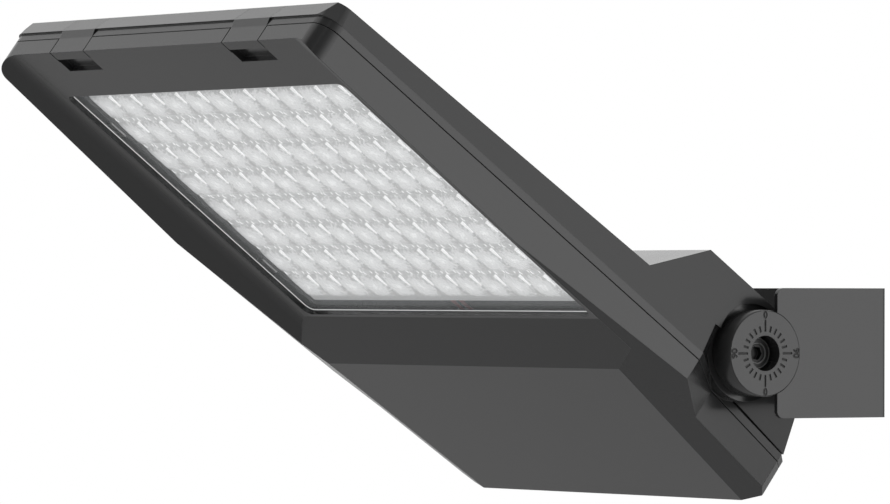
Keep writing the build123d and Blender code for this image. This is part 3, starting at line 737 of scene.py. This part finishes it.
def soft_block(shape: Mesh, low: Vector, high: Vector, round_by: float, place: Matrix) -> None:
    """Adds a block with rounded edges.

    Args:
        shape: mesh that gets the block.
        low: lowest corner, in head millimetres.
        high: highest corner, in head millimetres.
        round_by: radius of the edges, in millimetres.
        place: matrix from head millimetres to model metres.
    """
    part = bmesh.new()
    bmesh.ops.create_cube(part, size=1.0)
    for vertex in part.verts:
        for axis in range(3):
            middle = (low[axis] + high[axis]) / 2
            vertex.co[axis] = middle + vertex.co[axis] * (high[axis] - low[axis])
    bmesh.ops.bevel(
        part, geom=part.edges[:], offset=round_by, segments=3, profile=0.5, affect="EDGES"
    )
    bmesh.ops.transform(part, matrix=place, verts=part.verts)
    holder = bpy.data.meshes.new("block_holder")
    part.to_mesh(holder)
    part.free()
    shape.from_mesh(holder)
    bpy.data.meshes.remove(holder)


@dataclass
class LensField:
    """Four plates of moulded lenses, eight rows of twelve, with the chips behind them.

    Each arc is a small rib in the band between two rows: its place across the
    cell, its radius, the angle where it starts and the angle that it sweeps.
    Prisms and ribs glow as painted highlights; each prism stands beside the front end of its lens
    and tapers to the rear.
    """

    seat: HeadSeat = field(default_factory=HeadSeat)
    pitch: float = 28.0
    middle_x: float = 213.4
    rear_x: float = 98.4
    front_x: float = 328.4
    board_x: float = 104.8
    border_top_z: float = -31.7
    border_overlap: float = 1.0
    border_round: float = 0.2
    plate_round: float = 0.3
    rows: int = 4
    columns: int = 6
    cell_x: float = 23.8
    cell_y: float = 26.8
    arcs: tuple[tuple[float, float, float, float], ...] = (
        (-9.5, 2.6, 190.0, 120.0),
        (-3.0, 1.7, 20.0, 110.0),
        (3.5, 2.4, 200.0, 100.0),
        (9.0, 1.6, 30.0, 130.0),
    )
    arc_steps: int = 6
    arc_width: float = 0.2
    arc_rise: float = 0.5
    arc_taper: Pair = (0.1, 0.8)
    seam_shift: float = 0.8
    prism_start: float = 11.4
    prism_length: float = 11.0
    prism_width: float = 0.95
    prism_overhang: float = 0.45
    prism_slant: float = 0.2
    prism_tail: float = 0.6
    prism_drop: float = 0.6
    base_z: float = -32.8
    plate_top_z: float = -30.5
    rise: float = 1.9
    crown: float = 0.25
    crown_fall: float = 0.6
    shoulder_power: int = 9
    shoulder_curve: float = 0.6
    saddle: float = 0.4
    saddle_width: float = 0.28
    steps: int = 12
    trim: float = 0.2
    chip_low_z: float = -31.1
    board_low_z: float = -30.5
    chip_body: float = 4.6
    chip_round: float = 0.12
    chip_dome: float = 1.7
    dome_flatness: float = 0.06

    def height(self, u: float, v: float) -> float:
        """Height of a lens above its plate.

        Args:
            u: place along the head, from -1 to 1.
            v: place across the head, from -1 to 1.

        Returns:
            The height in millimetres.
        """
        power, curve = self.shoulder_power, self.shoulder_curve
        shoulder = (1 - abs(u) ** power) ** curve * (1 - abs(v) ** power) ** curve
        dip = self.saddle * math.exp(-((u / self.saddle_width) ** 2)) * (1 - v * v)
        crown = self.crown * (1 - self.crown_fall * u * u - self.crown_fall * v * v)
        return max(0.0, shoulder * (self.rise - self.crown - dip) + crown * shoulder)

    def spread(self, step: int) -> float:
        """Place of a step over a lens, from -1 to 1, closer together at its edges."""
        return math.sin((step / self.steps - 0.5) * math.pi)

    def cell(self, shape: Mesh, centre: Pair, place: Matrix) -> None:
        """Adds one lens as a net of faces, with its own coordinates for the finish.

        Args:
            shape: mesh of the plate.
            centre: middle of the lens, in head millimetres.
            place: matrix from head millimetres to model metres.
        """
        layer = shape.loops.layers.uv.verify()
        net: list[list[bmesh.types.BMVert]] = []
        for row in range(self.steps + 1):
            u = self.spread(row)
            line: list[bmesh.types.BMVert] = []
            for column in range(self.steps + 1):
                v = self.spread(column)
                x = centre[0] + u * self.cell_x / 2
                y = centre[1] + v * self.cell_y / 2
                point = Vector((x, y, self.base_z - self.height(u, v)))
                line.append(shape.verts.new(place @ point))
            net.append(line)
        for row in range(self.steps):
            for column in range(self.steps):
                ahead, beside = row + 1, column + 1
                corners = ((row, column), (row, beside), (ahead, beside), (ahead, column))
                face = shape.faces.new([net[i][j] for i, j in corners])
                for loop, (i, j) in zip(face.loops, corners):
                    loop[layer].uv = (0.5 + self.spread(i) / 2, 0.5 + self.spread(j) / 2)

    def highlight_face(self, shape: Mesh, corners: list[bmesh.types.BMVert]) -> None:
        """Adds one face in the glowing finish of the prisms, which paints a highlight."""
        layer = shape.loops.layers.uv.verify()
        face = shape.faces.new(corners)
        face.material_index = 1
        for loop in face.loops:
            loop[layer].uv = (0.5, 0.5)

    def prism(self, shape: Mesh, centre: Pair, place: Matrix) -> None:
        """Adds the tapered glowing prism, a painted highlight, beside the front end of a lens.

        Args:
            shape: mesh of the plate.
            centre: middle of the lens, in head millimetres.
            place: matrix from head millimetres to model metres.
        """
        front = centre[0] + self.prism_start
        rear = front - self.prism_length
        edge = centre[1] + self.cell_y / 2 + self.prism_overhang
        inner = edge - self.prism_width
        base, top = self.base_z, self.base_z - self.rise
        slant = self.prism_slant
        points = (
            (front, inner, base),
            (front, edge, base),
            (front, edge - slant, top),
            (front, inner, top),
            (rear, edge - self.prism_tail, base),
            (rear, edge - slant, base),
            (rear, edge - 2 * slant, top + self.prism_drop),
        )
        sides = ((0, 1, 2, 3), (1, 5, 6, 2), (0, 3, 6, 4), (3, 2, 6), (4, 6, 5), (0, 4, 5, 1))
        made = [shape.verts.new(place @ Vector(point)) for point in points]
        for corners in sides:
            self.highlight_face(shape, [made[index] for index in corners])

    def arc(self, shape: Mesh, centre: Pair, place: Matrix) -> None:
        """Adds the low curved ribs in the band behind a lens, which glow as painted highlights.

        Args:
            shape: mesh of the plate.
            centre: middle of the lens, in head millimetres.
            place: matrix from head millimetres to model metres.
        """
        band_x = centre[0] - self.pitch / 2
        first, span = self.arc_taper
        for offset, radius, start, sweep in self.arcs:
            lines = []
            for step in range(self.arc_steps + 1):
                angle = math.radians(start + sweep * step / self.arc_steps)
                out = Vector((math.cos(angle), math.sin(angle), 0.0))
                middle = Vector((band_x, centre[1] + offset, self.base_z)) + out * radius
                taper = math.sin(math.pi * (first + span * step / self.arc_steps))
                wide = out * (self.arc_width * taper)
                lift = Vector((0.0, 0.0, -self.arc_rise * taper))
                line = (middle - wide, middle + lift, middle + wide)
                lines.append([shape.verts.new(place @ point) for point in line])
            for here, after in zip(lines, lines[1:]):
                for i in range(2):
                    self.highlight_face(shape, [here[i], here[i + 1], after[i + 1], after[i]])

    def slabs(self, shape: Mesh, middle: Pair, along: int, place: Matrix) -> None:
        """Adds the flat plate, and at the rear its thinner border behind the board.

        Args:
            shape: mesh of the plate.
            middle: middle of the plate's lenses, in head millimetres.
            along: 1 for the front plate, -1 for the rear one.
            place: matrix from head millimetres to model metres.
        """
        reach_x = self.rows * self.pitch / 2 - self.trim
        reach_y = self.columns * self.pitch / 2 - self.trim
        rear, front = middle[0] - reach_x, middle[0] + reach_x
        far, near = middle[1] - reach_y, middle[1] + reach_y
        if along > 0:
            front = self.front_x
        else:
            rear = self.board_x
            low = Vector((self.rear_x, far, self.base_z))
            high = Vector((self.board_x + self.border_overlap, near, self.border_top_z))
            soft_block(shape, low, high, self.border_round, place)
        low = Vector((rear, far, self.base_z))
        high = Vector((front, near, self.plate_top_z))
        soft_block(shape, low, high, self.plate_round, place)
        layer = shape.loops.layers.uv.verify()
        for face in shape.faces:
            for loop in face.loops:
                loop[layer].uv = (0.0, 0.0)

    def plate(self, along: int, side: Side) -> bpy.types.Object:
        """Builds one plate with its 24 lenses.

        Args:
            along: 1 for the front plate, -1 for the rear one.
            side: near or far.

        Returns:
            The plate.
        """
        place = self.seat.matrix()
        shape = bmesh.new()
        middle_x = self.middle_x + along * (self.rows * self.pitch / 2)
        middle_y = side.value * (self.columns * self.pitch / 2)
        self.slabs(shape, (middle_x, middle_y), along, place)
        for row in range(self.rows):
            for column in range(self.columns):
                x = middle_x + (row - (self.rows - 1) / 2) * self.pitch
                y = middle_y + (column - (self.columns - 1) / 2) * self.pitch
                self.cell(shape, (x, y), place)
                self.prism(shape, (x, y), place)
                if row:
                    self.arc(shape, (x, y), place)
                elif along > 0:
                    self.arc(shape, (x + self.seam_shift, y), place)
        bmesh.ops.recalc_face_normals(shape, faces=shape.faces[:])
        row_word = "front" if along > 0 else "rear"
        name = f"lens_array_{row_word}_{side.label}"
        piece = new_piece(name, shape, LensAcrylic(), smooth=True)
        piece.data.materials.append(HighlightPrism().material())
        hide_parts(f"lens_plate_{row_word}_{side.label}")
        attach(piece, "head")
        return piece

    def chips(self) -> bpy.types.Object:
        """Builds the 96 light chips: a white body with a yellow dome.

        Returns:
            The chips, as one piece with two finishes.
        """
        place = self.seat.matrix()
        shape = bmesh.new()
        half = self.chip_body / 2
        flat = Matrix.Diagonal((1.0, 1.0, self.dome_flatness, 1.0))
        for row in range(2 * self.rows):
            for column in range(2 * self.columns):
                x = self.middle_x + (row - self.rows + 0.5) * self.pitch
                y = (column - self.columns + 0.5) * self.pitch
                low = Vector((x - half, y - half, self.chip_low_z))
                high = Vector((x + half, y + half, self.board_low_z))
                soft_block(shape, low, high, self.chip_round, place)
                body_faces = len(shape.faces)
                lift = Matrix.Translation((x, y, self.chip_low_z))
                bmesh.ops.create_icosphere(
                    shape, subdivisions=1, radius=self.chip_dome, matrix=place @ lift @ flat
                )
                shape.faces.ensure_lookup_table()
                for face in shape.faces[body_faces:]:
                    face.material_index = 1
        piece = new_piece("light_packages", shape, SolderMask("chip_ceramic"), smooth=False)
        piece.data.materials.append(Phosphor().material())
        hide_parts("led_chips")
        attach(piece, "head")
        return piece

    def build(self) -> list[bpy.types.Object]:
        """Builds the four plates and the chips.

        Returns:
            The new pieces.
        """
        made = [self.plate(along, side) for along in (1, -1) for side in Side]
        made.append(self.chips())
        return made


@dataclass
class ShadeBaffle:
    """Black frame on the heat sink that fills the gap round the lens plates; its black paints the
    shade there.
    """

    seat: HeadSeat = field(default_factory=HeadSeat)
    outer_x: Pair = (97.3, 341.7)
    outer_y: float = 171.7
    inner_x: Pair = (104.4, 328.8)
    inner_y: float = 168.2
    lead_y: float = 8.0
    low_z: float = -32.0
    rear_low_z: float = -31.6
    high_z: float = -28.95
    round_by: float = 0.3

    def build(self) -> bpy.types.Object:
        """Builds the frame, open at the rear where the leads of the boards pass.

        Returns:
            The baffle.
        """
        place = self.seat.matrix()
        shape = bmesh.new()
        rear, front = self.outer_x
        inner_rear, inner_front = self.inner_x
        bars = (
            ((rear, self.lead_y), (inner_rear, self.outer_y), self.rear_low_z),
            ((rear, -self.outer_y), (inner_rear, -self.lead_y), self.rear_low_z),
            ((inner_front, -self.outer_y), (front, self.outer_y), self.low_z),
            ((inner_rear, -self.outer_y), (inner_front, -self.inner_y), self.low_z),
            ((inner_rear, self.inner_y), (inner_front, self.outer_y), self.low_z),
        )
        for low, high, under in bars:
            bottom, top = Vector((*low, under)), Vector((*high, self.high_z))
            soft_block(shape, bottom, top, self.round_by, place)
        # painted shade: a near-black frame where the gap round the lens plates lies in shade
        black = MouldedPlastic("painted_shade_black", color=(0.006, 0.006, 0.006), roughness=0.6)
        piece = new_piece("shade_baffle", shape, black, smooth=False)
        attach(piece, "head")
        return piece


@dataclass
class GlassBead:
    """Thin bead of clear sealant round the glass inside the door's opening; its glow paints a
    bright line.
    """

    seat: HeadSeat = field(default_factory=HeadSeat)
    front_x: float = 336.2
    rear_x: float = 97.0
    half_y: float = 168.0
    corner: float = 6.0
    level_z: float = -40.3
    radius: float = 0.32
    sides: int = 6
    corner_steps: int = 6

    def path(self) -> list[tuple[Vector, Vector]]:
        """Follows the opening.

        Returns:
            Points on the bead's middle line, each with its direction away from the opening.
        """
        inset = self.corner + self.radius
        mids = (
            (self.front_x - inset, self.half_y - inset, 0.0),
            (self.rear_x + inset, self.half_y - inset, 90.0),
            (self.rear_x + inset, inset - self.half_y, 180.0),
            (self.front_x - inset, inset - self.half_y, 270.0),
        )
        points = []
        for x, y, start in mids:
            for step in range(self.corner_steps + 1):
                angle = math.radians(start + 90.0 * step / self.corner_steps)
                out = Vector((math.cos(angle), math.sin(angle), 0.0))
                points.append((Vector((x, y, self.level_z)) + out * self.corner, out))
        return points

    def build(self) -> bpy.types.Object:
        """Builds the bead as one closed tube.

        Returns:
            The bead.
        """
        place = self.seat.matrix()
        shape = bmesh.new()
        loops = []
        for middle, out in self.path():
            loop = []
            for step in range(self.sides):
                angle = 2 * math.pi * step / self.sides
                point = middle + out * (self.radius * math.cos(angle))
                point.z += self.radius * math.sin(angle)
                loop.append(shape.verts.new(place @ point))
            loops.append(loop)
        for here, after in zip(loops, loops[1:] + loops[:1]):
            for i in range(self.sides):
                j = (i + 1) % self.sides
                shape.faces.new((here[i], here[j], after[j], after[i]))
        bmesh.ops.recalc_face_normals(shape, faces=shape.faces[:])
        piece = new_piece("glass_bead", shape, Sealant(), smooth=True)
        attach(piece, "door")
        return piece


@dataclass
class TiltDial:
    """Numbered hub of the tilt joint: its marks, cut and painted, and its bolt's rings, which
    paint highlights.
    """

    reach: float = 0.099
    face_y: float = 213.0
    tick_count: int = 24
    long_every: int = 6
    tick_width: float = 1.3
    tick_inner: float = 13.9
    tick_short: float = 17.8
    tick_long: float = 21.5
    tick_depth: float = 0.45
    figures: tuple[tuple[float, str], ...] = ((0, "0"), (90, "90"), (180, "0"), (270, "90"))
    figure_radius: float = 24.4
    figure_height: float = 4.6
    figure_depth: float = 0.3
    figure_boldness: float = 0.26
    type_size: float = 1.4
    type_steps: int = 3
    weld: float = 0.001
    bolt_face_y: float = 204.15
    rings: tuple[Pair, ...] = ((6.5, 0.55), (9.6, 0.5))
    ring_rise: float = 0.12
    ring_root: float = 0.2
    ring_crown: float = 0.6
    ring_steps: int = 64

    def ticks(self, shape: Mesh, side: Side) -> None:
        """Adds the cutters of the ticks, a little wider than the cast grooves.

        Args:
            shape: mesh of the cutter.
            side: near or far.
        """
        top = side.value * (self.face_y + self.figure_depth)
        low = side.value * (self.face_y - self.tick_depth)
        for tick in range(self.tick_count):
            outer = self.tick_short if tick % self.long_every else self.tick_long
            half = self.tick_width / 2
            turn = Matrix.Rotation(tick * 2 * math.pi / self.tick_count, 4, "Y")
            inner = self.tick_inner
            ends = ((inner, -half), (outer, -half), (outer, half), (inner, half))
            corners = [Vector((radius, y, z)) for y in (low, top) for radius, z in ends]
            ring = [shape.verts.new(self.settle(turn @ corner)) for corner in corners]
            shape.faces.new(ring[:4])
            shape.faces.new(ring[4:])
            for step in range(4):
                after = (step + 1) % 4
                shape.faces.new((ring[step], ring[after], ring[4 + after], ring[4 + step]))
        bmesh.ops.recalc_face_normals(shape, faces=shape.faces[:])

    def settle(self, point: Vector) -> Vector:
        """Takes a point about the tilt axis, in millimetres, to the model's frame."""
        return Vector((self.reach + point.x * MM, point.y * MM, point.z * MM))

    def figure(self, shape: Mesh, side: Side, turn_deg: float, words: str) -> None:
        """Adds the cutter of one figure.

        Args:
            shape: mesh of the cutter.
            side: near or far.
            turn_deg: angle of the figure round the dial.
            words: the figure.
        """
        curve = bpy.data.curves.new("figure", "FONT")
        curve.body = words
        curve.align_x = "CENTER"
        curve.align_y = "CENTER"
        curve.size = self.figure_height * self.type_size
        curve.extrude = self.figure_depth
        curve.offset = self.figure_boldness
        curve.resolution_u = self.type_steps
        holder = bpy.data.objects.new("figure", curve)
        mesh = bpy.data.meshes.new_from_object(holder)
        part = bmesh.new()
        part.from_mesh(mesh)
        bmesh.ops.remove_doubles(part, verts=part.verts[:], dist=self.weld)
        up = Matrix.Translation((0.0, self.figure_radius, 0.0))
        spin = Matrix.Rotation(math.radians(turn_deg), 4, "Z")
        sign = side.value
        stand = Matrix(((-sign, 0, 0, 0), (0, 0, sign, 0), (0, 1, 0, 0), (0, 0, 0, 1)))
        out = Matrix.Translation((0.0, sign * self.face_y, 0.0))
        bmesh.ops.transform(part, matrix=out @ stand @ spin @ up, verts=part.verts)
        for vertex in part.verts:
            vertex.co = self.settle(vertex.co)
        bmesh.ops.recalc_face_normals(part, faces=part.faces[:])
        part.to_mesh(mesh)
        part.free()
        shape.from_mesh(mesh)
        bpy.data.meshes.remove(mesh)
        bpy.data.objects.remove(holder)
        bpy.data.curves.remove(curve)

    def mark(self, side: Side, hub: bpy.types.Object) -> None:
        """Cuts the ticks and the figures into the hub, with paint in them.

        Args:
            side: near or far.
            hub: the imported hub.
        """
        shape = bmesh.new()
        self.ticks(shape, side)
        for turn_deg, words in self.figures:
            self.figure(shape, side, turn_deg, words)
        cutter = new_piece(f"figure_cutter_{side.label}", shape, Ink(), smooth=False)
        cutter.hide_render = True
        cutter.hide_viewport = True
        cut = hub.modifiers.new("figures", "BOOLEAN")
        cut.operation = "DIFFERENCE"
        cut.solver = "EXACT"
        cut.object = cutter
        cut.material_mode = "TRANSFER"

    def ring(self, side: Side) -> bpy.types.Object:
        """Turns the rim of the bolt's socket and the bevelled edge of its head, in a lighter steel
        that paints their highlights.

        Args:
            side: near or far.

        Returns:
            The two rings, as one piece.
        """
        shape = bmesh.new()
        for radius, width in self.rings:
            shoulder = width * self.ring_crown
            rise = self.ring_rise
            profile = (
                (-width, 0.0),
                (-shoulder, rise),
                (shoulder, rise),
                (width, 0.0),
                (0.0, -self.ring_root),
            )
            loops = []
            for step in range(self.ring_steps):
                angle = step * 2 * math.pi / self.ring_steps
                loop = []
                for offset, lift in profile:
                    around = radius + offset
                    y = side.value * (self.bolt_face_y + lift)
                    point = Vector((around * math.cos(angle), y, around * math.sin(angle)))
                    loop.append(shape.verts.new(self.settle(point)))
                loops.append(loop)
            for here, after in zip(loops, loops[1:] + loops[:1]):
                for i in range(len(profile)):
                    j = (i + 1) % len(profile)
                    shape.faces.new((here[i], here[j], after[j], after[i]))
        bmesh.ops.recalc_face_normals(shape, faces=shape.faces[:])
        # painted highlight: the rings are a much lighter steel than the black bolt
        ring_highlight_steel = BrushedSteel("bolt_ring_painted_highlight", color=(0.16, 0.16, 0.16), roughness=0.3)
        piece = new_piece(f"bolt_ring_{side.label}", shape, ring_highlight_steel, smooth=True)
        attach(piece, "head")
        return piece

    def build(self, nodes: dict) -> list[bpy.types.Object]:
        """Marks the hubs of both sides and adds their bolts' rings.

        Args:
            nodes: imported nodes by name.

        Returns:
            The new pieces.
        """
        made = []
        for side in Side:
            self.mark(side, nodes[f"dial_hub_{side.label}"])
            made.append(self.ring(side))
        return made


class Floodlight:
    """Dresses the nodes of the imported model."""

    def __init__(self, frame: dict) -> None:
        """Keeps the frame and chooses a finish for every node.
        """
        self.nodes = frame["nodes"]
        coat = PowderCoat()
        # the latches get a stronger painted highlight along their edges
        latch_coat = PowderCoat("latch_coat", roughness=0.24, edge_highlight=0.12)
        zinc = BrushedSteel()
        plastic = MouldedPlastic()
        rubber = Rubber()
        self.finishes: dict[str, Finish] = {
            "yoke_bracket": coat,
            "upper_housing": coat,
            "door_frame": coat,
            "glass": ClearGlass(),
            "led_chips": Phosphor(),
            "driver_tray": BrushedSteel(
                "tray_sheet", color=(0.55, 0.56, 0.57), streak=(30.0, 1.0, 1.0)
            ),
            "led_driver": CanMetal(),
            "surge_protector": MouldedPlastic("surge_plastic", color=(0.3, 0.3, 0.29)),
            "terminal_block": MouldedPlastic("terminal_plastic", color=(0.5, 0.49, 0.45)),
            "light_leads": LeadJacket(),
            "mains_leads": LeadJacket("lead_black", color=(0.02, 0.02, 0.02)),
            "glass_clips": BrushedSteel("clip_steel", streak=(1.0, 30.0, 30.0)),
        }
        for node in ("glass_clip_screws", "driver_tray_screws", "earth_screw"):
            self.finishes[node] = zinc
        for node in ("door_seal", "glass_gasket", "gland_seal"):
            self.finishes[node] = rubber
        for node in ("gland_body", "gland_cap", "gland_nut", "breather_vent"):
            self.finishes[node] = plastic
        for side in Side:
            word = side.label
            self.finishes[f"dial_hub_{word}"] = coat
            self.finishes[f"latch_{word}"] = latch_coat
            self.finishes[f"pivot_bolt_{word}"] = BlackOxide()
            for node in ("friction_washer", "latch_pin", "hinge_pin"):
                self.finishes[f"{node}_{word}"] = zinc
            for row in ("front", "rear"):
                self.finishes[f"led_board_{row}_{word}"] = SolderMask()
                self.finishes[f"lens_plate_{row}_{word}"] = LensAcrylic()

    def paint(self) -> int:
        """Puts each node's finish on all its slots.

        Returns:
            How many nodes were painted.
        """
        for name, node in self.nodes.items():
            mesh = node.data
            material = self.finishes[name].material()
            if not mesh.materials:
                mesh.materials.append(material)
            for index in range(len(mesh.materials)):
                mesh.materials[index] = material
            LOG.info("dressed %s in %s", name, material.name)
        return len(self.nodes)


def main() -> None:
    """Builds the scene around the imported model."""
    logging.basicConfig(level=logging.INFO)
    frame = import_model()
    Studio().build()
    Viewpoint().build()
    lamp = Floodlight(frame)
    LOG.info("%d nodes dressed", lamp.paint())
    pieces = LensField().build()
    pieces.append(ShadeBaffle().build())
    pieces.append(GlassBead().build())
    pieces += TiltDial().build(frame["nodes"])
    for piece in pieces:
        LOG.info("built %s", piece.name)


if __name__ == "__main__":
    main()
